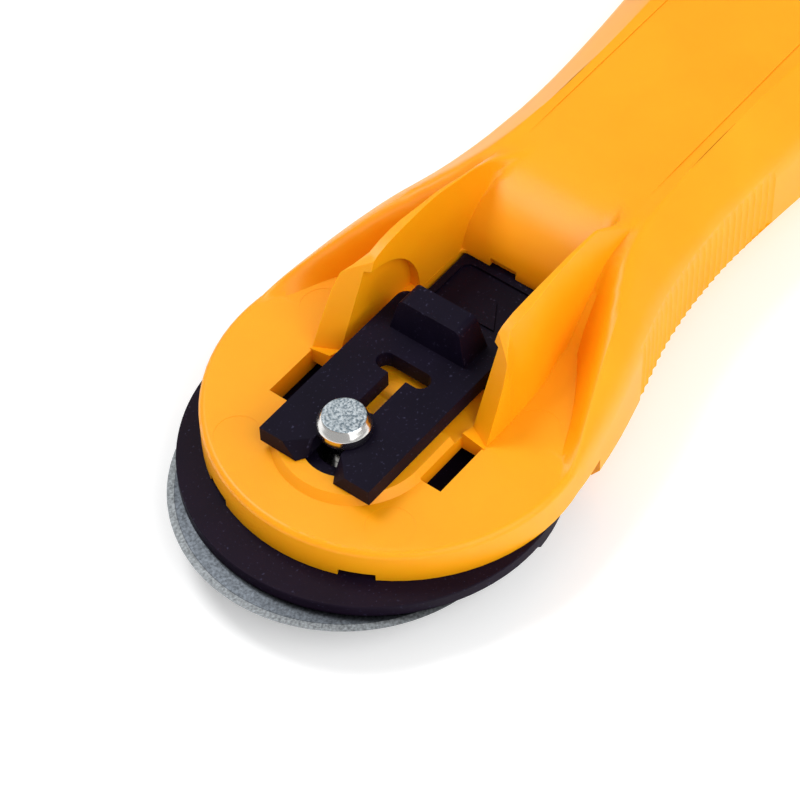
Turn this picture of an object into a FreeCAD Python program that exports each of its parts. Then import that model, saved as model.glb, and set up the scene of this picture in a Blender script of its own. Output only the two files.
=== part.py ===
"""Quick-change rotary cutter, 45 mm blade, as separate pieces in millimetres.

+X runs along the handle, from the blade axis to the hanging hole.
+Z points out of the back of the tool, the side with the lock slide.
The origin is on the blade axis, in the outer face of the pin knob, which is
the plane that the tool rests on.  Everything is drawn with the guard pulled
back, the blade bare and the lock slide home on the pivot pin.
"""
import FreeCAD, Part
import math
import os

Vec = FreeCAD.Vector
X_AXIS = Vec(1, 0, 0)
Y_AXIS = Vec(0, 1, 0)
Z_AXIS = Vec(0, 0, 1)

# ---------------------------------------------------------------- driving sizes
# blade and the stack of pieces along its axis
blade_diameter = 45.0
blade_thickness = 0.3
blade_bore = 8.0
blade_bevel = 1.0            # width of the ground edge
blade_level = 5.85           # front face of the blade above the rest plane
run_gap = 0.05               # clearance of a face that turns on another
slide_gap = 0.1              # clearance of a face that slides on another

# guard
guard_margin = 2.3           # how far the guard reaches past the blade's edge
guard_stroke = 5.4
guard_setback = guard_stroke + 0.05   # centre behind the blade axis, guard pulled back
guard_thickness = 1.6
guard_wall = 1.6
guard_skirt_depth = 1.4
guard_skirt_inset = 0.3      # skirt inside the disc's edge
guard_edge_round = 0.15
guard_tail_width = 14.0
guard_tail_reach = 3.0       # tail past the click spring's bump

# head of the handle
head_margin = 0.05           # head beyond the guard, on the radius
head_centre = 10.4
head_plate = 2.0
head_depth = 5.0             # rim of the head, top to bottom
rim_wall = 2.0
rim_round = 0.9
plateau_centre = 1.8
plateau_end = 8.7
plateau_height = 1.15
plateau_draft = 0.8
crest_tip = 39.2             # where the sharp crests of the wings end
notch_width = 4.7            # reliefs in the lower edge of the rim
notch_height = 1.0
notch_angle = 26.0
skirt_step = 20.3            # where the side walls step down below the head
sink = 0.4                   # how far the walls are rooted in the head's plate
window_rail = 1.2            # thickness of the deep wall outside each side window
window_rail_depth = 1.5      # its reach under the head's plate
eye_radius = 3.1             # ejector pin marks
eye_depth = 0.04

# windows
side_window_start = 1.5
side_window_end = 9.8
side_window_wall = 1.5       # from the slide's channel to the side window
side_window_width = 3.1
channel_gap = 0.35           # between the slide and the walls beside it
rear_window_start = 17.5
rear_window_end = 35.1
rear_window_round = 1.0
key_notch_start = 0.25       # small relief in the rear window's back edge
key_notch_end = 4.4
key_notch_depth = 0.7

# lock slide
slide_front = -6.1
slide_back = 22.6
slide_half = 8.45
slide_thickness = 2.46
slide_travel = 9.0
tail_thickness = 1.5
tail_rise = 1.35             # top of the tail above the underside of the head plate
tail_narrow = 0.15           # tail narrower than the plate, on each side
tail_end = 47.0
web_length = 3.2
mouth_half = 4.85            # half width of the lead-in at the front edge
mouth_depth = 2.7
mouth_bevel = 1.6
slit_half = 1.35
cross_start = 10.25
cross_end = 12.9
cross_half = 4.0
tab_base_start = 16.2
tab_base_end = 21.0
tab_top_start = 16.8
tab_top_end = 20.4
tab_base_half = 5.9
tab_top_half = 4.6
tab_height = 5.2
tab_round = 1.1

# pivot pin and its knob
pin_head_height = 2.45
pin_chamfer_height = 1.2
pin_chamfer_width = 0.75
pin_seat_step = 0.45         # from the blade seat down to the shank, on the radius
pin_neck_depth = 1.5
pin_neck_drop = 2.0          # neck starts this far below the lock slide
knob_radius = 11.5
knob_height = 4.1
knob_dish = 0.8
flange_level = 1.9
flange_radius = 7.5
flange_height = 1.2
washer_outer = 9.0
washer_play = 0.35           # washer bore around the blade seat
washer_thickness = 0.4
washer_bow = 1.0

# hub bush
bush_wall = 1.25
bush_flange_step = 0.6
bush_flange_height = 2.2
bush_sink = 0.6              # how far the bush lies under the top of the plateau

# handle
grip_start = 54.0
grip_length = 102.0
wall = 2.2
back_rise = 8.2              # the flat back above the top of the head
hang_hole_radius = 3.25
hang_hole_setback = 10.5     # from the end of the handle
wall_round = 2.4             # softening of the long corners of the grip
panel_start = 48.8
panel_setback = 38.0
panel_round = 0.4
panel_half = 9.65
panel_groove = 0.22
panel_groove_depth = 0.12
rib_first = 34.0
rib_last = 68.4
rib_count = 24
rib_radius = 0.95
rib_depth = 0.32
rib_bottom = 5.2

# front cover, thumb slider and click spring
cover_gap = 2.75             # from the guard's edge to the cover
cover_setback = 18.0
cover_thickness = 2.0
cover_inset = 3.4            # how far its edge lies inside the side walls
cover_slot_half = 2.2
post_half = 2.0
post_setback = 7.0           # from the cover's front edge
post_length = 7.0
pad_length = 17.0
pad_half = 8.0
pad_height = 2.3
pad_ridges = 5
spring_thickness = 0.4
spring_half = 3.0
spring_length = 23.0
spring_seat = 5.0            # level of the two posts that carry the spring
spring_post_radius = 1.6
click_setback = 15.0         # from the post to the spring's bump under the guard's tail

# ---------------------------------------------------------------- levels
blade_back = blade_level + blade_thickness
guard_bottom = blade_back + 2 * slide_gap
guard_top = guard_bottom + guard_thickness
head_bottom = guard_top + slide_gap
head_top = head_bottom + head_depth
plate_under = head_top - head_plate
plateau_top = head_top + plateau_height
slide_bottom = plateau_top + slide_gap
slide_top = slide_bottom + slide_thickness
pin_head_bottom = slide_top + slide_gap
pin_top = pin_head_bottom + pin_head_height
slide_tail_top = plate_under + tail_rise
slide_tail_bottom = slide_tail_top - tail_thickness
back_level = head_top + back_rise
grip_top = head_top + 2.75

# ---------------------------------------------------------------- sizes that follow
guard_radius = blade_diameter / 2 + guard_margin
head_radius = guard_radius + head_margin
pin_seat_radius = blade_bore / 2 - run_gap
pin_shank_radius = pin_seat_radius - pin_seat_step
pin_head_radius = pin_shank_radius
pin_neck_radius = pin_shank_radius - pin_neck_depth
bush_body_radius = pin_shank_radius + slide_gap + bush_wall
bush_flange_radius = bush_body_radius + bush_flange_step
washer_inner = pin_seat_radius + washer_play
channel_half = slide_half + channel_gap
tail_half = slide_half - tail_narrow
side_window_inner = channel_half + side_window_wall
side_window_outer = side_window_inner + side_window_width
plateau_radius = side_window_inner - 0.6
handle_end = grip_start + grip_length
hang_hole_place = handle_end - hang_hole_setback
panel_end = handle_end - panel_setback
cover_start = guard_setback + guard_radius + cover_gap
cover_end = handle_end - cover_setback
post_start = cover_start + post_setback
click_place = post_start + click_setback
guard_tail_end = click_place + guard_tail_reach
spring_start = click_place - 2.0
spring_end = spring_start + spring_length
spring_posts = (spring_end - 8.0, spring_end - 3.0)


# ---------------------------------------------------------------- small helpers
def box(x0, x1, y0, y1, z0, z1):
    return Part.makeBox(x1 - x0, y1 - y0, z1 - z0, Vec(x0, y0, z0))


def post(radius, z0, z1, x=0.0, y=0.0):
    return Part.makeCylinder(radius, z1 - z0, Vec(x, y, z0), Z_AXIS)


def ring(outer, inner, z0, z1, x=0.0, y=0.0):
    return post(outer, z0, z1, x, y).cut(post(inner, z0 - 1, z1 + 1, x, y))


def prism(points, z0, z1):
    """An upright prism over a closed outline of (x, y) points."""
    corners = [Vec(x, y, z0) for x, y in points]
    face = Part.Face(Part.makePolygon(corners + corners[:1]))
    return face.extrude(Vec(0, 0, z1 - z0))


def obround(x0, x1, half, z0, z1):
    """A slot or bar along X with round ends centred on x0 and x1."""
    body = box(x0, x1, -half, half, z0, z1) if x1 > x0 else post(half, z0, z1, x0)
    return body.fuse([post(half, z0, z1, x0), post(half, z0, z1, x1)])


def between(x, knots):
    """Smooth value at x through a short list of (x, value) knots."""
    if x <= knots[0][0]:
        return knots[0][1]
    if x >= knots[-1][0]:
        return knots[-1][1]
    slopes = []
    for i in range(len(knots)):
        left = knots[max(i - 1, 0)]
        right = knots[min(i + 1, len(knots) - 1)]
        slopes.append((right[1] - left[1]) / (right[0] - left[0]))
    for i in range(len(knots) - 1):
        (xa, va), (xb, vb) = knots[i], knots[i + 1]
        rise = (vb - va) / (xb - xa)
        if abs(rise) < 1e-9:
            slopes[i] = slopes[i + 1] = 0.0
    for i in range(len(knots) - 1):
        (xa, va), (xb, vb) = knots[i], knots[i + 1]
        if x <= xb:
            t = (x - xa) / (xb - xa)
            h = xb - xa
            return ((2 * t**3 - 3 * t**2 + 1) * va + (t**3 - 2 * t**2 + t) * h * slopes[i]
                    + (3 * t**2 - 2 * t**3) * vb + (t**3 - t**2) * h * slopes[i + 1])


# ---------------------------------------------------------------- handle outline
def along(part):
    """Place at a given part of the grip's length."""
    return grip_start + part * grip_length


def handle_half_width(x):
    """Half width of the handle in plan."""
    r = head_radius
    return between(x, [(8, r - 0.25), (12, r - 0.1), (16, r - 0.35), (20, r - 1.0), (26, r - 2.15),
                       (33, r - 3.9), (43, 18.4), (grip_start, 17.05), (along(0.1), 16.85),
                       (along(0.215), 17.5), (along(0.35), 18.7), (along(0.5), 19.4),
                       (along(0.65), 19.0), (along(0.785), 17.3), (along(0.89), 14.3),
                       (along(0.95), 10.9), (along(0.986), 6.6), (handle_end, 2.6)])


def front_level(x):
    """Height of the blade-side face of the handle above the rest plane."""
    return between(x, [(20, 4.4), (34, 3.4), (50, 3.1), (along(0.16), 1.6), (along(0.45), 0.0),
                       (along(0.725), 0.0), (along(0.86), 1.2), (along(0.95), 3.8),
                       (along(0.986), 6.4), (handle_end, 9.2)])


def crown_height(x):
    """Height of the flat back, which falls away at the end of the handle."""
    return between(x, [(along(0.7), back_level), (along(0.84), back_level - 1.3),
                       (along(0.94), back_level - 4.4), (along(0.986), back_level - 7.0),
                       (handle_end, back_level - 9.4)])


def back_height(x):
    """Height of the middle of the back, with the thumb ramp behind the slide."""
    h = head_top
    edge = rear_window_end
    ramp = between(x, [(edge - 2, h - sink), (edge, h), (edge + 0.5, h + 1.9), (edge + 1.3, h + 3.4),
                       (edge + 2.4, h + 4.5), (edge + 3.9, h + 5.6), (edge + 5.4, h + 6.4),
                       (edge + 7.4, h + 7.1), (edge + 10.5, h + 7.8), (grip_start, back_level)])
    return min(ramp, crown_height(x))


def crest_height(x):
    """Height of the two walls that stand beside the slide, which run out behind their tips."""
    h = head_top
    return between(x, [(10, h + 7.55), (15, h + 9.55), (19, h + 11.85), (23, h + 12.45),
                       (31, h + 12.55), (35.5, h + 12.0), (crest_tip, h + 11.35), (42, h + 9.9),
                       (45, h + 8.6), (47.5, back_level)])


def softened(line, place, reach, steps=2):
    """The line with the corner at the given place in the list cut to a short curve."""
    corner = line[place]
    ends = []
    for other in (line[place - 1], line[place + 1]):
        span = math.hypot(other[0] - corner[0], other[1] - corner[1])
        part = min(reach / span, 0.45)
        ends.append((corner[0] + part * (other[0] - corner[0]), corner[1] + part * (other[1] - corner[1])))
    curve = []
    for i in range(steps + 1):
        t = i / steps
        curve.append(tuple((1 - t)**2 * ends[0][n] + 2 * t * (1 - t) * corner[n] + t**2 * ends[1][n]
                           for n in (0, 1)))
    return line[:place] + curve + line[place + 1:]


def half_section(x):
    """One side of the outer skin at x, from the middle of the back to the front."""
    h = head_top
    c = channel_half
    w = handle_half_width(x)
    low = front_level(x)
    top = back_height(x)
    crown = crown_height(x)
    shoulder = w * between(x, [(8, 0.992), (14, 0.967), (20, 0.905), (26, 0.843), (31, 0.803),
                               (38, 0.74), (44, 0.692), (50, 0.668), (along(0.06), 0.648),
                               (along(0.35), 0.643), (along(0.55), 0.654), (along(0.785), 0.635),
                               (along(0.89), 0.61), (along(0.95), 0.587), (handle_end, 0.577)])
    rise = between(x, [(8, h - sink), (11, h - sink), (13, h + 0.1), (20, h + 3.15),
                       (26, h + 5.05), (31, h + 6.45), (38, h + 7.75), (44, back_level)])
    wall_top = between(x, [(8, h - 0.65), (14, h - 0.55), (20, h + 0.55), (28, h + 1.95),
                           (36, grip_top), (along(0.7), grip_top), (along(0.89), grip_top - 0.6),
                           (along(0.986), grip_top - 3.0), (handle_end, grip_top - 4.4)])
    wall_low = low + between(x, [(8, 1.8), (20, 1.8), (60, 3.2), (along(0.45), 4.6),
                                 (along(0.75), 4.6), (along(0.95), 3.6), (handle_end, 1.2)])
    front = w - between(x, [(20, 1.2), (33, 2.0), (60, 3.0), (along(0.785), 3.4),
                            (along(0.95), 2.6), (handle_end, 0.9)])
    floor = between(x, [(8, h - sink), (28.5, h - sink), (31.5, h + 1.85), (35.5, h + 4.85),
                        (39.5, h + 7.0), (45, back_level)])
    tip = (handle_end, 0.5)
    inner = between(x, [(8, c), (42, c), (50, 6.0), (along(0.7), 5.0), (along(0.95), 2.4), tip])
    crest_in = between(x, [(8, c + 0.9), (19, c + 0.8), (30, c + 0.85),
                           (crest_tip, c + 0.4), (43, c + 0.6), (50, 7.6), (along(0.7), 6.6),
                           (along(0.95), 3.2), (handle_end, 0.7)])
    crest_out = between(x, [(8, c + 4.5), (15, c + 4.3), (19, c + 2.1), (23, c + 2.1),
                            (28.5, c + 1.6), (33, c + 1.25), (crest_tip, c + 0.8), (43, c + 1.7),
                            (50, 9.6), (along(0.7), 8.0), (along(0.95), 4.0), (handle_end, 0.9)])
    valley_in = between(x, [(8, c + 4.9), (21, c + 4.7), (28, c + 3.4), (35, c + 2.7),
                            (40, c + 2.2), (48, c + 2.2), (along(0.7), 9.3), (along(0.95), 4.7),
                            (handle_end, 1.1)])
    spread = between(x, [(8, 0.86), (14.6, 0.735), (20, 0.69), (26, 0.476), (29, 0.286),
                         (35, 0.2), (40, 0.21), (48, 0.42), (handle_end, 0.45)])
    valley_out = valley_in + spread * (shoulder - valley_in)
    crest = max(crest_height(x), top) if x < 47.5 else top
    dip = floor if x < 45 else crown
    if x >= 44:
        rise = crown
    line = [(0.0, top), (inner, top), (crest_in, crest), (crest_out, crest - 0.1 * (x < 46)),
            (valley_in, dip), (valley_out, dip), (shoulder, rise), (w, wall_top), (w, wall_low),
            (front, low)]
    # the last corners first, so that the places of the others stay
    line = softened(line, 7, wall_round, 4)
    line = softened(line, 6, wall_round, 4)
    blend = between(x, [(crest_tip, 0.08), (42, 1.0), (46, 2.0), (grip_start, 2.0)])
    for place in (3, 2, 1):
        line = softened(line, place, blend)
    return line


def skin(stations, section):
    """A solid through mirrored half sections at the given x stations."""
    wires = []
    for x in sorted(stations):
        half = section(x)
        loop = [Vec(x, y, z) for y, z in half]
        loop += [Vec(x, -y, z) for y, z in reversed(half) if y > 0]
        wires.append(Part.makePolygon(loop + loop[:1]))
    return Part.makeLoft(wires, True, True)


def cavity_section(x):
    """One side of the hollow inside the handle at x, open on the blade side."""
    w = handle_half_width(x)
    ceiling = between(x, [(20, plate_under), (36, plate_under), (40, plate_under + 2.6),
                          (44, plate_under + 6.2), (50, back_level - wall),
                          (handle_end, back_level - wall)])
    flat = between(x, [(20, 12.0), (44, 10.0), (cover_end, 10.0)])
    return [(0.0, ceiling), (flat, ceiling),
            (w - wall, min(ceiling, head_top + 1.15)), (w - wall, ledge_level(x) + 2.4),
            (w - cover_inset - 1.7, ledge_level(x) + 0.9), (w - cover_inset - 1.7, -2.0),
            (0.0, -2.0)]


def ledge_level(x):
    """Height of the ledge that the front cover lies on."""
    return front_level(x) + cover_thickness


def cover_section(x, half_gap, bottom):
    """One side of the front cover, or with a gap, of the opening it fills."""
    half = handle_half_width(x) - cover_inset - half_gap
    return [(0.0, ledge_level(x)), (half, ledge_level(x)), (half, bottom), (0.0, bottom)]


edge = rear_window_end
front_stations = [side_window_end, 12, 14, 15.5, 17, 19, 21, 23, 25, 27, 28.5, 30, 31.5, edge - 2, edge,
                  edge + 0.5, edge + 1.3, edge + 2.4, edge + 3.3, crest_tip, 40.5, 42, 43.5, 45, 46.5,
                  48.5, 51]
grip_stations = [along(n / 30) for n in range(1, 27)]
grip_stations += [along(n) for n in (0.89, 0.907, 0.93, 0.95, 0.968, 0.98, 0.99, 1.0)]
body_stations = front_stations + grip_stations
cover_stations = [x for x in body_stations if cover_start + 1 < x < cover_end - 1]
cover_stations += [cover_start, cover_end]


def mirrored(shape):
    """The same shape on the -Y side."""
    return shape.mirror(Vec(0, 0, 0), Y_AXIS)


# ---------------------------------------------------------------- handle body
def wing_face():
    """Wedge that cuts the front end of one wing to its sloping facet."""
    low_in = Vec(12.5, channel_half + 0.7, head_top)
    low_out = Vec(10.3, channel_half + 4.9, head_top)
    high_in = Vec(17.0, channel_half + 1.9, head_top + 10.2)
    across = (low_out - low_in).normalize()
    up = (high_in - low_in).normalize()
    away = across.cross(up).normalize()
    if away.x > 0:
        away = away * -1
    corners = [low_in - across * 4, low_in + across * 12, low_in + across * 12 + up * 22,
               low_in - across * 4 + up * 22]
    face = Part.Face(Part.makePolygon(corners + corners[:1]))
    wedge = face.extrude(away * 20)
    return wedge.common(box(-20, 30, channel_half - 4, channel_half + 13, head_top, head_top + 20))


def plateau():
    """Raised obround land around the hub, with sloping sides."""
    foot = plateau_radius + plateau_draft
    cone = Part.makeCone(foot, plateau_radius, plateau_height, Vec(plateau_centre, 0, head_top), Z_AXIS)
    outline = [Vec(plateau_centre, -foot, head_top), Vec(plateau_centre, foot, head_top),
               Vec(plateau_centre, plateau_radius, plateau_top),
               Vec(plateau_centre, -plateau_radius, plateau_top)]
    bar = Part.Face(Part.makePolygon(outline + outline[:1]))
    bar = bar.extrude(Vec(plateau_end - plateau_centre, 0, 0))
    nose = cone.common(box(-30, plateau_centre, -30, 30, head_top - 1, plateau_top + 1))
    return nose.fuse(bar)


def rim_notches():
    """Two short reliefs in the lower edge of the head's rim."""
    cuts = []
    for side in (-1, 1):
        block = box(-4, 1.5, -notch_width / 2, notch_width / 2, head_bottom - 1,
                    head_bottom + notch_height)
        block.translate(Vec(-head_radius, 0, 0))
        block.rotate(Vec(0, 0, 0), Z_AXIS, side * notch_angle)
        block.translate(Vec(head_centre, 0, 0))
        cuts.append(block)
    return cuts


def finger_ribs():
    """Upright grooves that leave a row of fine ribs on both side walls."""
    grooves = []
    pitch = (rib_last - rib_first) / (rib_count - 1)
    for i in range(rib_count):
        x = rib_first + i * pitch
        y = handle_half_width(x) + rib_radius - rib_depth
        for side in (-1, 1):
            grooves.append(post(rib_radius, rib_bottom, grip_top + 1.2, x, side * y))
    return Part.makeCompound(grooves)


def panel_outline():
    """Fine groove with round corners around the flat panel on the back."""
    rims = []
    for inset in (0.0, panel_groove):
        half = panel_half - inset
        rim = box(panel_start + inset, panel_end - inset, -half, half,
                  back_level - panel_groove_depth, back_level + 1)
        rims.append(rim.makeFillet(panel_round - inset, [e for e in rim.Edges if e.BoundBox.ZLength > 1]))
    return rims[0].cut(rims[1])


def make_handle_body():
    head = post(head_radius, head_bottom, head_top, head_centre)
    rim_edges = [e for e in head.Edges if abs(e.BoundBox.ZMin - head_top) < 1e-6
                 and abs(e.BoundBox.ZMax - head_top) < 1e-6]
    head = head.makeFillet(rim_round, rim_edges)
    # the guard sweeps through everything under the head
    shell = skin(body_stations, half_section)
    shell = shell.cut(box(0, skirt_step, -40, 40, -5, head_bottom + sink))
    shell = shell.cut(post(guard_radius + 0.4, -5, head_bottom, guard_setback))
    body = head.fuse(shell)
    # hollow head and handle, with the hub standing in the head
    hollow = post(head_radius - rim_wall, head_bottom - 1, plate_under, head_centre)
    hollow = hollow.cut(box(22, 60, -40, 40, 0, 30))
    cavity_stations = [x for x in body_stations if 21 < x < cover_end - 1] + [cover_end]
    hollow = hollow.fuse(skin(cavity_stations, cavity_section))
    hollow = hollow.cut(post(bush_flange_radius + 2.6, head_bottom, plate_under + 1))
    # a deep wall along the outer side of each side window
    for side in (-1, 1):
        near, far = sorted((side * side_window_outer, side * (side_window_outer + window_rail)))
        rail = box(side_window_start - 1, side_window_end + 1, near, far,
                   plate_under - window_rail_depth, plate_under + 1)
        hollow = hollow.cut(rail)
    body = body.cut(hollow)
    seat = skin(cover_stations, lambda x: cover_section(x, -slide_gap, -2.0))
    body = body.cut(seat)
    body = body.fuse(plateau())
    # hub bore with the ledge that the bush sits on
    ledge = plateau_top - bush_sink - bush_flange_height
    cuts = [post(bush_flange_radius + run_gap, ledge, plateau_top + 1),
            post(bush_body_radius + run_gap, head_bottom - 1, ledge + 0.1)]
    # windows in the head plate, and the way of the slide's tail behind the rear one
    window = box(rear_window_start, rear_window_end, -channel_half, channel_half,
                 plate_under - 1, head_top + 0.5)
    cuts.append(window.makeFillet(rear_window_round, [e for e in window.Edges if e.BoundBox.ZLength > 1]))
    cuts.append(box(rear_window_end - 2, tail_end + slide_travel + 0.5, -channel_half, channel_half,
                    plate_under - 0.5, slide_tail_top + slide_gap))
    cuts.append(box(rear_window_end - 0.5, rear_window_end + key_notch_depth, key_notch_start,
                    key_notch_end, plate_under - 1, head_top + key_notch_depth))
    for side in (-1, 1):
        near, far = sorted((side * side_window_inner, side * side_window_outer))
        cuts.append(box(side_window_start, side_window_end, near, far, head_bottom - 1,
                        head_top + 1))
    # room for the thumb between the wings
    reach = channel_half + 1.6
    thumb = Part.makeCylinder(9.0, 2 * reach, Vec(17.3, -reach, head_top + 1.1), Y_AXIS)
    cuts.append(thumb.common(box(0, 40, -reach - 1, reach + 1, head_top, head_top + 20)))
    wedge = wing_face()
    cuts += [wedge, mirrored(wedge)]
    for x, y in ((-6.4, 11.85), (16.4, 16.8)):
        for side in (-1, 1):
            cuts.append(post(eye_radius, head_top - eye_depth, head_top + 1, x, side * y))
    cuts += rim_notches()
    cuts.append(finger_ribs())
    cuts.append(panel_outline())
    cuts.append(post(hang_hole_radius, -5, 40, hang_hole_place))
    for c in cuts:
        body = body.cut(c)
    return body


def make_front_cover():
    cover = skin(cover_stations, lambda x: cover_section(x, 0.0, front_level(x)))
    slot = obround(post_start - guard_stroke, post_start + post_length, cover_slot_half, -5, 12)
    cover = cover.cut(slot)
    for x in spring_posts:
        cover = cover.fuse(post(spring_post_radius, front_level(x) + 0.5, spring_seat, x))
        cover = cover.fuse(post(spring_post_radius - 0.6, front_level(x) + 0.5, spring_seat + 0.9, x))
    return cover


def make_click_spring():
    """Bent leaf that presses a bump against the underside of the guard's tail."""
    top = guard_bottom - run_gap
    line = [(spring_end, spring_seat), (spring_posts[0] - 4.0, spring_seat),
            (click_place + 2.2, top - 1.0), (click_place, top - spring_thickness),
            (spring_start, top - 0.9)]
    lower = [Vec(x, -spring_half, z) for x, z in line]
    upper = [Vec(x, -spring_half, z + spring_thickness) for x, z in reversed(line)]
    strip = Part.Face(Part.makePolygon(lower + upper + lower[:1]))
    strip = strip.extrude(Vec(0, 2 * spring_half, 0))
    for x in spring_posts:
        strip = strip.cut(post(spring_post_radius - 0.6 + slide_gap, 0, 12, x))
    return strip


# ---------------------------------------------------------------- guard
def make_guard():
    disc = post(guard_radius, guard_bottom, guard_top, guard_setback)
    upper = [e for e in disc.Edges if e.BoundBox.ZMin > guard_top - 1e-6]
    disc = disc.makeFillet(guard_edge_round, upper)
    rim = guard_radius - guard_skirt_inset
    skirt = ring(rim, rim - guard_wall, guard_bottom - guard_skirt_depth, guard_bottom, guard_setback)
    # the skirt covers the rear half, with sloping front ends
    start = guard_setback + 0.2
    side = [Vec(start, -40, guard_bottom + 1), Vec(start, -40, guard_bottom),
            Vec(start + guard_skirt_depth, -40, guard_bottom - guard_skirt_depth),
            Vec(60, -40, guard_bottom - guard_skirt_depth), Vec(60, -40, guard_bottom + 1)]
    reach = Part.Face(Part.makePolygon(side + side[:1])).extrude(Vec(0, 80, 0))
    skirt = skirt.common(reach)
    tail = box(20, guard_tail_end, -guard_tail_width / 2, guard_tail_width / 2, guard_bottom,
               guard_top)
    guard = disc.fuse([skirt, tail])
    cuts = [obround(0, guard_stroke, bush_body_radius + slide_gap, 0, 20),
            obround(post_start, post_start + post_length, 1.2 + run_gap, 0, 20)]
    for x in (click_place, click_place + guard_stroke):
        cuts.append(Part.makeCylinder(0.6, guard_tail_width + 2,
                                      Vec(x, -guard_tail_width / 2 - 1, guard_bottom), Y_AXIS))
    return guard.cut(cuts)


def make_thumb_slider():
    """Ridged pad on the blade side, with a foot through the cover into the guard."""
    middle = post_start + post_length / 2
    top = front_level(middle + pad_length / 2) - 2 * slide_gap
    bottom = top - pad_height
    pad = box(middle - pad_length / 2, middle + pad_length / 2, -pad_half, pad_half, bottom, top)
    corner = [e for e in pad.Edges if abs(e.BoundBox.ZLength - pad_height) < 1e-6]
    pad = pad.makeFillet(3.0, corner)
    pad = pad.makeChamfer(0.7, [e for e in pad.Edges if e.BoundBox.ZMax < bottom + 1e-6])
    pitch = (pad_length - 5.0) / pad_ridges
    for i in range(pad_ridges):
        x = middle - pad_length / 2 + 2.5 + (i + 0.5) * pitch
        groove = Part.makeCylinder(0.75, 2 * pad_half - 4, Vec(x, -pad_half + 2, bottom - 0.15), Y_AXIS)
        pad = pad.cut(groove)
    foot = obround(post_start, post_start + post_length, post_half, top - 0.5, guard_bottom)
    rivet = obround(post_start, post_start + post_length, 1.2, guard_bottom - 0.5, guard_top - 0.1)
    return pad.fuse([foot, rivet])


# ---------------------------------------------------------------- blade and its pivot
def make_blade():
    radius = blade_diameter / 2
    edge = 0.04
    outline = [Vec(0, 0, blade_level), Vec(radius - blade_bevel, 0, blade_level),
               Vec(radius, 0, blade_level + blade_thickness / 2 - edge / 2),
               Vec(radius, 0, blade_level + blade_thickness / 2 + edge / 2),
               Vec(radius - blade_bevel, 0, blade_back), Vec(0, 0, blade_back)]
    disc = Part.Face(Part.makePolygon(outline + outline[:1])).revolve(Vec(0, 0, 0), Z_AXIS, 360)
    return disc.cut(post(blade_bore / 2, 0, 20))


def make_hub_bush():
    top = plateau_top - bush_sink
    flange = post(bush_flange_radius, top - bush_flange_height, top)
    body = post(bush_body_radius, blade_back + run_gap, top)
    return flange.fuse(body).cut(post(pin_shank_radius + slide_gap, 0, 30))


def make_pivot_pin():
    """Turned pin: flange in the knob, blade seat, shank, lock neck and chamfered head."""
    neck_bottom = slide_bottom - pin_neck_drop
    flange_top = flange_level + flange_height
    steps = [(0, flange_level), (flange_radius, flange_level), (flange_radius, flange_top),
             (pin_seat_radius, flange_top), (pin_seat_radius, blade_back - run_gap),
             (pin_shank_radius, blade_back - run_gap),
             (pin_shank_radius, neck_bottom - 0.5), (pin_shank_radius - 0.5, neck_bottom),
             (pin_neck_radius, neck_bottom), (pin_neck_radius, pin_head_bottom),
             (pin_head_radius, pin_head_bottom),
             (pin_head_radius, pin_top - pin_chamfer_height),
             (pin_head_radius - pin_chamfer_width, pin_top), (0, pin_top)]
    outline = [Vec(r, 0, z) for r, z in steps]
    return Part.Face(Part.makePolygon(outline + outline[:1])).revolve(Vec(0, 0, 0), Z_AXIS, 360)


def make_pin_knob(pin):
    """Moulded knob around the pin's flange, with a ring groove and a fluted rim."""
    knob = post(knob_radius, 0, knob_height)
    low = [e for e in knob.Edges if e.BoundBox.ZMax < 1e-6]
    knob = knob.makeFillet(0.8, low)
    high = [e for e in knob.Edges if e.BoundBox.ZMin > knob_height - 1e-6]
    knob = knob.makeFillet(0.5, high)
    knob = knob.cut(ring(knob_radius - 3.0, knob_radius - 5.5, -1, knob_dish))
    flutes = 12
    for i in range(flutes):
        a = 2 * math.pi * i / flutes
        r = knob_radius + 0.9
        knob = knob.cut(post(1.5, -1, knob_height + 1, r * math.cos(a), r * math.sin(a)))
    return knob.cut(pin)


def make_spring_washer():
    """Saddle-bent washer that keeps the blade snug against the bush."""
    rise = washer_bow
    curve = (washer_outer**2 + rise**2) / (2 * rise)
    base = knob_height + run_gap
    shell = Part.makeCylinder(curve, 2 * washer_outer + 2, Vec(0, -washer_outer - 1, base + rise
                              + washer_thickness - curve), Y_AXIS)
    inner = Part.makeCylinder(curve - washer_thickness, 2 * washer_outer + 4,
                              Vec(0, -washer_outer - 2, base + rise + washer_thickness - curve), Y_AXIS)
    blank = ring(washer_outer, washer_inner, base, base + rise + 2 * washer_thickness)
    return shell.cut(inner).common(blank)


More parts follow.
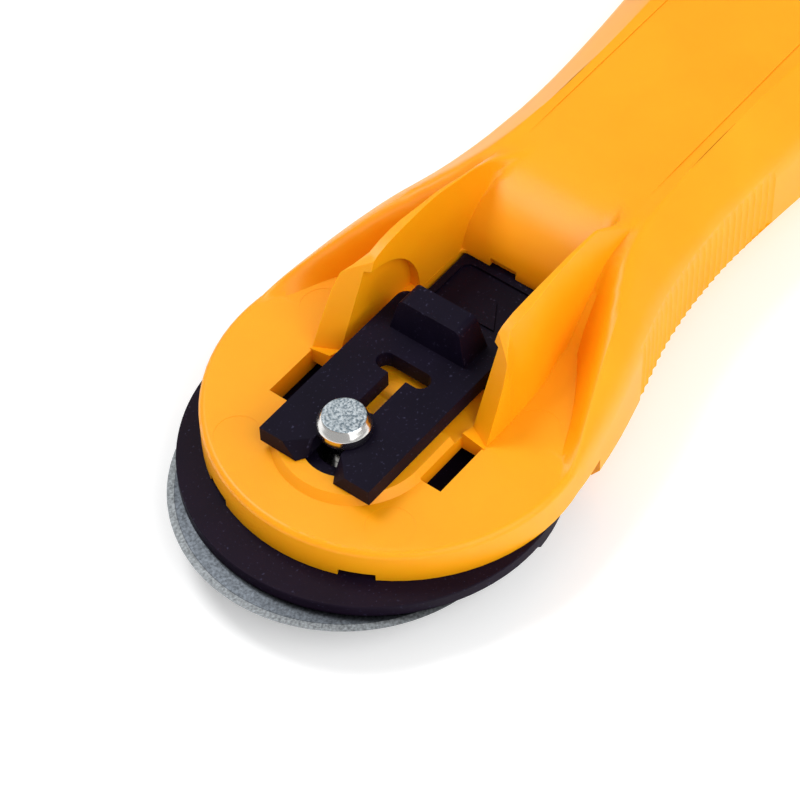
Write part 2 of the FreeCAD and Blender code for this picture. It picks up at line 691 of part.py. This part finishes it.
# ---------------------------------------------------------------- lock slide
def make_lock_slide():
    plate = box(slide_front, slide_back, -slide_half, slide_half, slide_bottom, slide_top)
    back = [e for e in plate.Edges if abs(e.BoundBox.ZLength - slide_thickness) < 1e-6
            and e.BoundBox.XMin > slide_back - 1e-6]
    plate = plate.makeFillet(1.6, back)
    web = box(slide_back - web_length, slide_back - 0.2, -tail_half + 0.3, tail_half - 0.3,
              slide_tail_bottom + 0.1, slide_bottom + 0.5)
    tail = box(slide_back - web_length, tail_end, -tail_half, tail_half, slide_tail_bottom,
               slide_tail_top)
    tray = box(slide_back + 0.8, rear_window_end - 1.0, -tail_half + 1.0, tail_half - 1.0,
               slide_tail_top - 0.4, slide_tail_top + 1)
    tray = tray.makeFillet(1.4, [e for e in tray.Edges if e.BoundBox.ZLength > 1.2])
    tail = tail.cut(tray)
    arrow = prism([(26.6, -2.6), (26.6, 2.6), (30.8, 0.0)], slide_tail_top - 0.5, slide_tail_top - 0.1)
    tail = tail.fuse(arrow)
    # thumb tab, wider at its foot
    foot = Part.makePolygon([Vec(x, y, slide_top - 0.2) for x, y in
                             ((tab_base_start, -tab_base_half), (tab_base_end, -tab_base_half),
                              (tab_base_end, tab_base_half), (tab_base_start, tab_base_half),
                              (tab_base_start, -tab_base_half))])
    crown = Part.makePolygon([Vec(x, y, slide_top + tab_height) for x, y in
                              ((tab_top_start, -tab_top_half), (tab_top_end, -tab_top_half),
                               (tab_top_end, tab_top_half), (tab_top_start, tab_top_half),
                               (tab_top_start, -tab_top_half))])
    tab = Part.makeLoft([foot, crown], True, True)
    ends = [e for e in tab.Edges if e.BoundBox.ZMin > slide_top + tab_height - 1e-6
            and e.BoundBox.YLength < 1e-6]
    tab = tab.makeFillet(tab_round, ends)
    slide = plate.fuse([web, tail, tab])
    # fork: round seat, straight throat, bevelled mouth, slit and cross slot
    throat = pin_neck_radius + run_gap + 0.05
    mouth = [Vec(slide_front - 0.01, mouth_half, slide_top + 0.01),
             Vec(slide_front + mouth_depth, throat, slide_top + 0.01),
             Vec(slide_front + mouth_depth, -throat, slide_top + 0.01),
             Vec(slide_front - 0.01, -mouth_half, slide_top + 0.01)]
    under_half = mouth_half - mouth_bevel - 0.35
    under = [Vec(slide_front - 0.01, under_half, slide_bottom - 0.01),
             Vec(slide_front + mouth_depth - 1.4, throat, slide_bottom - 0.01),
             Vec(slide_front + mouth_depth - 1.4, -throat, slide_bottom - 0.01),
             Vec(slide_front - 0.01, -under_half, slide_bottom - 0.01)]
    cuts = [Part.makeLoft([Part.makePolygon(mouth + mouth[:1]), Part.makePolygon(under + under[:1])],
                          True, True),
            obround(slide_front - 3, 0, throat, slide_bottom - 1, slide_top + 1),
            box(0, cross_start + 0.5, -slit_half, slit_half, slide_bottom - 1, slide_top + 1)]
    half = (cross_end - cross_start) / 2
    bar = box((cross_start + cross_end) / 2 - half, (cross_start + cross_end) / 2 + half,
              -cross_half + half, cross_half - half, slide_bottom - 1, slide_top + 1)
    cuts.append(bar)
    for side in (-1, 1):
        cuts.append(post(half, slide_bottom - 1, slide_top + 1, (cross_start + cross_end) / 2,
                         side * (cross_half - half)))
    for c in cuts:
        slide = slide.cut(c)
    return slide


# ---------------------------------------------------------------- build
pivot_pin = make_pivot_pin()
nodes = {
    "handle_body": make_handle_body(),
    "front_cover": make_front_cover(),
    "click_spring": make_click_spring(),
    "blade_guard": make_guard(),
    "thumb_slider": make_thumb_slider(),
    "blade": make_blade(),
    "hub_bush": make_hub_bush(),
    "pivot_pin": pivot_pin,
    "pin_knob": make_pin_knob(pivot_pin),
    "spring_washer": make_spring_washer(),
    "lock_slide": make_lock_slide(),
}

os.makedirs("parts", exist_ok=True)
for name, shape in nodes.items():
    shape = shape.removeSplitter()
    solids = shape.Solids
    print(name, "valid", shape.isValid(), "solids", len(solids), "volume", round(shape.Volume, 2))
    (solids[0] if len(solids) == 1 else shape).exportStep("parts/" + name + ".step")
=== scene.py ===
"""Quick-change rotary cutter, 45 mm blade: the finished look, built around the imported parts."""
import bpy
import math
from mathutils import Matrix, Vector


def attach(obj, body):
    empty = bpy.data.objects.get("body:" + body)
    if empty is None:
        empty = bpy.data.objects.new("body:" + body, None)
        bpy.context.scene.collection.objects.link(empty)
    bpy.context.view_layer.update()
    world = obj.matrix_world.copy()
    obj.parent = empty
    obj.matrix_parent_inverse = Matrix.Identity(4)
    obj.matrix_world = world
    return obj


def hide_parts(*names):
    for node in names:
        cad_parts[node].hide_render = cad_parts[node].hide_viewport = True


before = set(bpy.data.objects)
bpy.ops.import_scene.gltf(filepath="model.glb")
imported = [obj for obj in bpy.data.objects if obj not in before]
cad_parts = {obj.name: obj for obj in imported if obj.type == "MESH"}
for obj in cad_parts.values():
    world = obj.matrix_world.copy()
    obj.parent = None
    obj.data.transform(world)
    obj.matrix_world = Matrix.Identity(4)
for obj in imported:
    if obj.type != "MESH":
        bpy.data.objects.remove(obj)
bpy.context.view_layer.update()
bpy.ops.object.select_all(action="DESELECT")


# ---- Handle moulding -------------------------------------------------------------------
# One hollow injection moulding in amber plastic: the head disc, the two wings beside the
# thumb channel and the grip.
MM = 0.001
MERGE_WITHIN = 0.002 * MM
SMOOTH_UNDER = 30.0          # degrees: softer corners are shaded as one surface


def working_copy(node, name):
    """A merged, shape-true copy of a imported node, alone in the selection."""
    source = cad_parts[node]
    piece = bpy.data.objects.new(name, source.data.copy())
    bpy.context.scene.collection.objects.link(piece)
    piece.data.materials.clear()
    bpy.ops.object.select_all(action="DESELECT")
    bpy.context.view_layer.objects.active = piece
    piece.select_set(True)
    if piece.data.has_custom_normals:
        bpy.ops.mesh.customdata_custom_splitnormals_clear()
    bpy.ops.object.mode_set(mode="EDIT")
    bpy.ops.mesh.select_all(action="SELECT")
    bpy.ops.mesh.remove_doubles(threshold=MERGE_WITHIN)
    bpy.ops.mesh.normals_make_consistent(inside=False)
    bpy.ops.object.mode_set(mode="OBJECT")
    return piece


def shaded(piece):
    """Soft corners shaded as one surface, sharp ones kept, large flat faces kept flat."""
    bpy.ops.object.shade_smooth_by_angle(angle=math.radians(SMOOTH_UNDER))
    level = piece.modifiers.new("level", "WEIGHTED_NORMAL")
    level.keep_sharp = True
    bpy.ops.object.modifier_apply(modifier="level")


handle = working_copy("handle_body", "handle_moulding")
shaded(handle)

AMBER = (0.95, 0.375, 0.003, 1.0)
AMBER_DEEP = (0.93, 0.35, 0.002, 1.0)
AMBER_GLOSS = 0.35
LIGHT_TAKEN_IN = 0.25        # share of the light that enters the plastic and comes out again
LIGHT_REACH = 1.5 * MM
CLOUD_SCALE = 70.0
GRAIN_SCALE = 2600.0
GRAIN_DEPTH = 0.02 * MM
GRAIN_STRENGTH = 0.1
amber = bpy.data.materials.new("amber_moulding")
amber.use_nodes = True
nodes, links = amber.node_tree.nodes, amber.node_tree.links
shader = nodes["Principled BSDF"]
shader.inputs["IOR"].default_value = 1.46
shader.inputs["Specular IOR Level"].default_value = AMBER_GLOSS
shader.inputs["Subsurface Weight"].default_value = LIGHT_TAKEN_IN
shader.inputs["Subsurface Radius"].default_value = (1.0, 0.4, 0.05)
shader.inputs["Subsurface Scale"].default_value = LIGHT_REACH
place = nodes.new("ShaderNodeTexCoord")
clouds = nodes.new("ShaderNodeTexNoise")
clouds.inputs["Scale"].default_value = CLOUD_SCALE
clouds.inputs["Detail"].default_value = 3.0
links.new(place.outputs["Object"], clouds.inputs["Vector"])
tint = nodes.new("ShaderNodeValToRGB")
tint.color_ramp.elements[0].position = 0.35
tint.color_ramp.elements[0].color = AMBER_DEEP
tint.color_ramp.elements[1].position = 0.65
tint.color_ramp.elements[1].color = AMBER
links.new(clouds.outputs["Fac"], tint.inputs["Fac"])
links.new(tint.outputs["Color"], shader.inputs["Base Color"])
shine = nodes.new("ShaderNodeMapRange")
shine.inputs["To Min"].default_value = 0.34
shine.inputs["To Max"].default_value = 0.44
links.new(clouds.outputs["Fac"], shine.inputs["Value"])
links.new(shine.outputs["Result"], shader.inputs["Roughness"])
grain = nodes.new("ShaderNodeTexNoise")
grain.inputs["Scale"].default_value = GRAIN_SCALE
grain.inputs["Detail"].default_value = 2.0
links.new(place.outputs["Object"], grain.inputs["Vector"])
bump = nodes.new("ShaderNodeBump")
bump.inputs["Strength"].default_value = GRAIN_STRENGTH
bump.inputs["Distance"].default_value = GRAIN_DEPTH
links.new(grain.outputs["Fac"], bump.inputs["Height"])
links.new(bump.outputs["Normal"], shader.inputs["Normal"])
handle.data.materials.append(amber)
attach(handle, "handle")
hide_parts("handle_body")


# ---- Front cover -----------------------------------------------------------------------
# The long plate that closes the grip on the blade side, in the same amber plastic,
# snapped onto a ledge inside the walls.
COVER_EDGE = 0.25 * MM
FLAT_WITHIN = 0.25           # degrees: neighbouring faces this level are one face
EDGE_OVER = 24.0             # degrees: a corner sharper than this is an edge
EDGE_SEGMENTS = 2


def eased(piece, width):
    """Flat faces made whole again, and every real edge eased by the given width."""
    flat = piece.modifiers.new("flat", "DECIMATE")
    flat.decimate_type = "DISSOLVE"
    flat.angle_limit = math.radians(FLAT_WITHIN)
    edge = piece.modifiers.new("edge", "BEVEL")
    edge.width = width
    edge.segments = EDGE_SEGMENTS
    edge.limit_method = "ANGLE"
    edge.angle_limit = math.radians(EDGE_OVER)
    for modifier in ("flat", "edge"):
        bpy.ops.object.modifier_apply(modifier=modifier)
    shaded(piece)


cover = working_copy("front_cover", "front_cover_plate")
eased(cover, COVER_EDGE)
cover.data.materials.append(amber)
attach(cover, "handle")
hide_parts("front_cover")


# ---- Lock slide ------------------------------------------------------------------------
# Black moulding with a fork that grips the pin's neck, a cross slot that lets the fork
# spring, and an upright tab for the thumb.  Its surface has a fine spark grain.
LOCK_EDGE = 0.2 * MM
lock = working_copy("lock_slide", "lock_slide_moulding")
eased(lock, LOCK_EDGE)

BLACK = (0.0035, 0.002, 0.008, 1.0)
BLACK_PALE = (0.0055, 0.0032, 0.012, 1.0)
# colour of the pale specks painted into the black as tiny glints
GLINT_SPECK = (0.03, 0.027, 0.055, 1.0)
BLACK_GLOSS = 0.08
BLACK_CLOUD_SCALE = 160.0
GLINT_SCALE = 2400.0
SPARK_SCALE = 3200.0
SPARK_DEPTH = 0.03 * MM
SPARK_STRENGTH = 0.25


def grained_black(name, dark, pale, glint_speck):
    """Black plastic with a violet cast, uneven gloss and fine pale specks painted as tiny glints.
    """
    material = bpy.data.materials.new(name)
    material.use_nodes = True
    nodes, links = material.node_tree.nodes, material.node_tree.links
    shader = nodes["Principled BSDF"]
    shader.inputs["IOR"].default_value = 1.5
    shader.inputs["Specular IOR Level"].default_value = BLACK_GLOSS
    place = nodes.new("ShaderNodeTexCoord")
    clouds = nodes.new("ShaderNodeTexNoise")
    clouds.inputs["Scale"].default_value = BLACK_CLOUD_SCALE
    clouds.inputs["Detail"].default_value = 4.0
    links.new(place.outputs["Object"], clouds.inputs["Vector"])
    tint = nodes.new("ShaderNodeValToRGB")
    tint.color_ramp.elements[0].position = 0.3
    tint.color_ramp.elements[0].color = dark
    tint.color_ramp.elements[1].position = 0.7
    tint.color_ramp.elements[1].color = pale
    links.new(clouds.outputs["Fac"], tint.inputs["Fac"])
    # pale specks painted into the base colour as tiny glints where the grain catches light
    glint_noise = nodes.new("ShaderNodeTexNoise")
    glint_noise.inputs["Scale"].default_value = GLINT_SCALE
    glint_noise.inputs["Detail"].default_value = 1.0
    links.new(place.outputs["Object"], glint_noise.inputs["Vector"])
    glint_mask = nodes.new("ShaderNodeValToRGB")
    glint_mask.color_ramp.elements[0].position = 0.66
    glint_mask.color_ramp.elements[1].position = 0.8
    links.new(glint_noise.outputs["Fac"], glint_mask.inputs["Fac"])
    mixed = nodes.new("ShaderNodeMix")
    mixed.data_type = "RGBA"
    mixed.inputs["B"].default_value = glint_speck
    links.new(glint_mask.outputs["Color"], mixed.inputs["Factor"])
    links.new(tint.outputs["Color"], mixed.inputs["A"])
    links.new(mixed.outputs["Result"], shader.inputs["Base Color"])
    shine = nodes.new("ShaderNodeMapRange")
    shine.inputs["To Min"].default_value = 0.42
    shine.inputs["To Max"].default_value = 0.6
    links.new(clouds.outputs["Fac"], shine.inputs["Value"])
    links.new(shine.outputs["Result"], shader.inputs["Roughness"])
    grain = nodes.new("ShaderNodeTexNoise")
    grain.inputs["Scale"].default_value = SPARK_SCALE
    grain.inputs["Detail"].default_value = 2.0
    links.new(place.outputs["Object"], grain.inputs["Vector"])
    bump = nodes.new("ShaderNodeBump")
    bump.inputs["Strength"].default_value = SPARK_STRENGTH
    bump.inputs["Distance"].default_value = SPARK_DEPTH
    links.new(grain.outputs["Fac"], bump.inputs["Height"])
    links.new(bump.outputs["Normal"], shader.inputs["Normal"])
    return material


slide_black = grained_black("lock_slide_black", BLACK, BLACK_PALE, GLINT_SPECK)
lock.data.materials.append(slide_black)
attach(lock, "lock")
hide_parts("lock_slide")


# ---- Blade guard and thumb slider ------------------------------------------------------
# Black disc under the head with a skirt at the back and a tail inside the grip, and the
# ridged pad that is riveted to the tail and pushes it forwards.  Their black is warmer.
GUARD_EDGE = 0.12 * MM
GUARD_BLACK = (0.0065, 0.003, 0.0095, 1.0)
GUARD_PALE = (0.0095, 0.0045, 0.0135, 1.0)
guard_black = grained_black("guard_black", GUARD_BLACK, GUARD_PALE, GLINT_SPECK)
for node, name in (("blade_guard", "guard_disc"), ("thumb_slider", "guard_thumb_pad")):
    piece = working_copy(node, name)
    eased(piece, GUARD_EDGE)
    piece.data.materials.append(guard_black)
    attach(piece, "guard")
    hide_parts(node)


# ---- Hub bush and pin knob -------------------------------------------------------------
# The bush that lines the hub's hole is pressed into the head.  The knob is moulded round
# the pin's flange on the blade side, with a fluted rim.
HUB_EDGE = 0.12 * MM
for node, name, body in (
    ("hub_bush", "hub_lining", "handle"),
    ("pin_knob", "pin_grip_knob", "pin_unit"),
):
    piece = working_copy(node, name)
    eased(piece, HUB_EDGE)
    piece.data.materials.append(slide_black)
    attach(piece, body)
    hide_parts(node)


# ---- Blade -----------------------------------------------------------------------------
# Rolled tool steel, 0.3 mm thick, with a ground bevel of 1 mm. Its colours are painted
# reflection: the rolled face is darkened for the dark surroundings it mirrors, and the bevel,
# whose rough grind scatters light, is painted paler than the rolled face.
BEVEL_START = 21.5 * MM
BEVEL_FULL = 21.62 * MM
# painted reflection tones: dark for the rolled face, paler for the grind, with a dark line where
# the grind begins
ROLLED_PAINTED_REFLECTION = (0.085, 0.095, 0.108, 1.0)
GROUND_PAINTED_REFLECTION = (0.21, 0.225, 0.235, 1.0)
BORDER = (0.035, 0.038, 0.043, 1.0)
BLADE_SMOOTH_UNDER = 20.0    # degrees
GRIND_SCALE = 3000.0
GRIND_DARKEST = 0.55
GRIND_PALEST = 1.45
blade = working_copy("blade", "round_blade")
bpy.ops.object.shade_smooth_by_angle(angle=math.radians(BLADE_SMOOTH_UNDER))
steel = bpy.data.materials.new("blade_steel")
steel.use_nodes = True
nodes, links = steel.node_tree.nodes, steel.node_tree.links
shader = nodes["Principled BSDF"]
shader.inputs["Metallic"].default_value = 1.0
place = nodes.new("ShaderNodeTexCoord")
split = nodes.new("ShaderNodeSeparateXYZ")
flat = nodes.new("ShaderNodeCombineXYZ")
links.new(place.outputs["Object"], split.inputs["Vector"])
links.new(split.outputs["X"], flat.inputs["X"])
links.new(split.outputs["Y"], flat.inputs["Y"])
radius = nodes.new("ShaderNodeVectorMath")
radius.operation = "LENGTH"
links.new(flat.outputs["Vector"], radius.inputs[0])
ring = nodes.new("ShaderNodeMapRange")
ring.inputs["From Min"].default_value = BEVEL_START
ring.inputs["From Max"].default_value = BEVEL_FULL
links.new(radius.outputs["Value"], ring.inputs["Value"])
zones = nodes.new("ShaderNodeValToRGB")
zones.color_ramp.elements[0].color = ROLLED_PAINTED_REFLECTION
zones.color_ramp.elements[1].color = GROUND_PAINTED_REFLECTION
border = zones.color_ramp.elements.new(0.5)
border.color = BORDER
links.new(ring.outputs["Result"], zones.inputs["Fac"])
grind = nodes.new("ShaderNodeTexNoise")
grind.inputs["Scale"].default_value = GRIND_SCALE
grind.inputs["Detail"].default_value = 4.0
links.new(place.outputs["Object"], grind.inputs["Vector"])
uneven = nodes.new("ShaderNodeMapRange")
uneven.inputs["From Min"].default_value = 0.3
uneven.inputs["From Max"].default_value = 0.7
uneven.inputs["To Min"].default_value = GRIND_DARKEST
uneven.inputs["To Max"].default_value = GRIND_PALEST
links.new(grind.outputs["Fac"], uneven.inputs["Value"])
toned = nodes.new("ShaderNodeVectorMath")
toned.operation = "SCALE"
links.new(zones.outputs["Color"], toned.inputs[0])
links.new(uneven.outputs["Result"], toned.inputs["Scale"])
links.new(toned.outputs["Vector"], shader.inputs["Base Color"])
rough = nodes.new("ShaderNodeMapRange")
rough.inputs["To Min"].default_value = 0.32
rough.inputs["To Max"].default_value = 0.55
links.new(ring.outputs["Result"], rough.inputs["Value"])
links.new(rough.outputs["Result"], shader.inputs["Roughness"])
blade.data.materials.append(steel)
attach(blade, "blade")
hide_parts("blade")


# ---- Pivot pin -------------------------------------------------------------------------
# Turned steel, zinc plated: the flat top is sand blasted, the chamfer is left bright.
PIN_EDGE = 0.06 * MM
BLASTED_ABOVE = 19.22 * MM
SAND_DARK = (0.15, 0.19, 0.22, 1.0)
SAND_PALE = (0.52, 0.57, 0.6, 1.0)
PLATED = (0.72, 0.71, 0.69, 1.0)
SAND_SCALE = 3600.0
SAND_DEPTH = 0.05 * MM
SAND_STRENGTH = 0.6
pin = working_copy("pivot_pin", "pivot_pin_turned")
eased(pin, PIN_EDGE)
zinc = bpy.data.materials.new("zinc_plating")
zinc.use_nodes = True
nodes, links = zinc.node_tree.nodes, zinc.node_tree.links
shader = nodes["Principled BSDF"]
shader.inputs["Metallic"].default_value = 1.0
place = nodes.new("ShaderNodeTexCoord")
blast = nodes.new("ShaderNodeTexNoise")
blast.inputs["Scale"].default_value = SAND_SCALE
blast.inputs["Detail"].default_value = 3.0
links.new(place.outputs["Object"], blast.inputs["Vector"])
split = nodes.new("ShaderNodeSeparateXYZ")
links.new(place.outputs["Object"], split.inputs["Vector"])
top = nodes.new("ShaderNodeMath")
top.operation = "GREATER_THAN"
top.inputs[1].default_value = BLASTED_ABOVE
links.new(split.outputs["Z"], top.inputs[0])
sand = nodes.new("ShaderNodeValToRGB")
sand.color_ramp.elements[0].position = 0.38
sand.color_ramp.elements[0].color = SAND_DARK
sand.color_ramp.elements[1].position = 0.62
sand.color_ramp.elements[1].color = SAND_PALE
links.new(blast.outputs["Fac"], sand.inputs["Fac"])
plated = nodes.new("ShaderNodeMix")
plated.data_type = "RGBA"
plated.inputs["A"].default_value = PLATED
links.new(top.outputs["Value"], plated.inputs["Factor"])
links.new(sand.outputs["Color"], plated.inputs["B"])
links.new(plated.outputs["Result"], shader.inputs["Base Color"])
shine = nodes.new("ShaderNodeMapRange")
shine.inputs["To Min"].default_value = 0.16
shine.inputs["To Max"].default_value = 0.42
links.new(top.outputs["Value"], shine.inputs["Value"])
links.new(shine.outputs["Result"], shader.inputs["Roughness"])
pitted = nodes.new("ShaderNodeMath")
pitted.operation = "MULTIPLY"
links.new(blast.outputs["Fac"], pitted.inputs[0])
links.new(top.outputs["Value"], pitted.inputs[1])
bump = nodes.new("ShaderNodeBump")
bump.inputs["Strength"].default_value = SAND_STRENGTH
bump.inputs["Distance"].default_value = SAND_DEPTH
links.new(pitted.outputs["Value"], bump.inputs["Height"])
links.new(bump.outputs["Normal"], shader.inputs["Normal"])
pin.data.materials.append(zinc)
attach(pin, "pin_unit")
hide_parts("pivot_pin")


# ---- Washer and click spring -----------------------------------------------------------
# Both are stamped from plain spring strip and bent: a saddle washer under the blade, and
# a leaf with a bump that the guard's tail clicks over.
for node, name, body in (
    ("spring_washer", "bent_washer", "pin_unit"),
    ("click_spring", "click_leaf", "handle"),
):
    piece = working_copy(node, name)
    bpy.ops.object.shade_smooth_by_angle(angle=math.radians(SMOOTH_UNDER))
    piece.data.materials.append(zinc)
    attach(piece, body)
    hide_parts(node)


# ---- Studio ----------------------------------------------------------------------------
# A wide white floor that glows a little, as a light table does, under a white surround,
# with a soft light high on the left and a broader one on the right.
FLOOR_DROP = 0.05 * MM
FLOOR_GLOW = 0.22
FLOOR_SPAN = 4.0
WHITE = (1.0, 1.0, 1.0, 1.0)
PAPER = (0.93, 0.93, 0.93, 1.0)
SURROUND = 0.5
LIT_PLACE = Vector((0.02, 0.0, 0.01))
bpy.ops.mesh.primitive_plane_add(size=FLOOR_SPAN, location=(0, 0, -FLOOR_DROP))
floor = bpy.context.object
floor.name = "studio_floor"
paper = bpy.data.materials.new("white_sweep")
paper.use_nodes = True
sheen = paper.node_tree.nodes["Principled BSDF"]
sheen.inputs["Base Color"].default_value = PAPER
sheen.inputs["Roughness"].default_value = 0.9
sheen.inputs["Emission Color"].default_value = WHITE
sheen.inputs["Emission Strength"].default_value = FLOOR_GLOW
floor.data.materials.append(paper)

world = bpy.data.worlds.new("surround")
bpy.context.scene.world = world
world.use_nodes = True
backdrop = world.node_tree.nodes["Background"]
backdrop.inputs["Color"].default_value = WHITE
backdrop.inputs["Strength"].default_value = SURROUND


def soft_light(name, spot, size, power):
    """A square soft box at the given spot that faces the head of the tool."""
    lamp = bpy.data.lights.new(name, "AREA")
    lamp.size = size
    lamp.energy = power
    holder = bpy.data.objects.new(name, lamp)
    bpy.context.scene.collection.objects.link(holder)
    holder.location = spot
    holder.rotation_mode = "QUATERNION"
    holder.rotation_quaternion = (LIT_PLACE - Vector(spot)).to_track_quat("-Z", "Y")


soft_light("high_left", (0.05, 0.42, 0.72), 0.3, 3.1)
soft_light("broad_right", (-0.05, -0.62, 0.5), 0.8, 4.8)
bpy.context.scene.view_settings.view_transform = "Standard"

SENSOR_WIDTH = 36.0
FOCAL_LENGTH = 133.56
CAMERA_PLACE = (-0.1728, -0.1513, 0.2938)
lens = bpy.data.cameras.new("view")
lens.sensor_width = SENSOR_WIDTH
lens.lens = FOCAL_LENGTH
lens.clip_start = 0.01
camera = bpy.data.objects.new("view", lens)
bpy.context.scene.collection.objects.link(camera)
RIGHT = Vector((0.6150, -0.7882, -0.0227))
UP = Vector((0.6118, 0.4587, 0.6445))
BACK = Vector((-0.4975, -0.4103, 0.7643))
camera.rotation_mode = "QUATERNION"
camera.rotation_quaternion = Matrix((RIGHT, UP, BACK)).transposed().to_quaternion()
camera.location = CAMERA_PLACE
bpy.context.scene.camera = camera
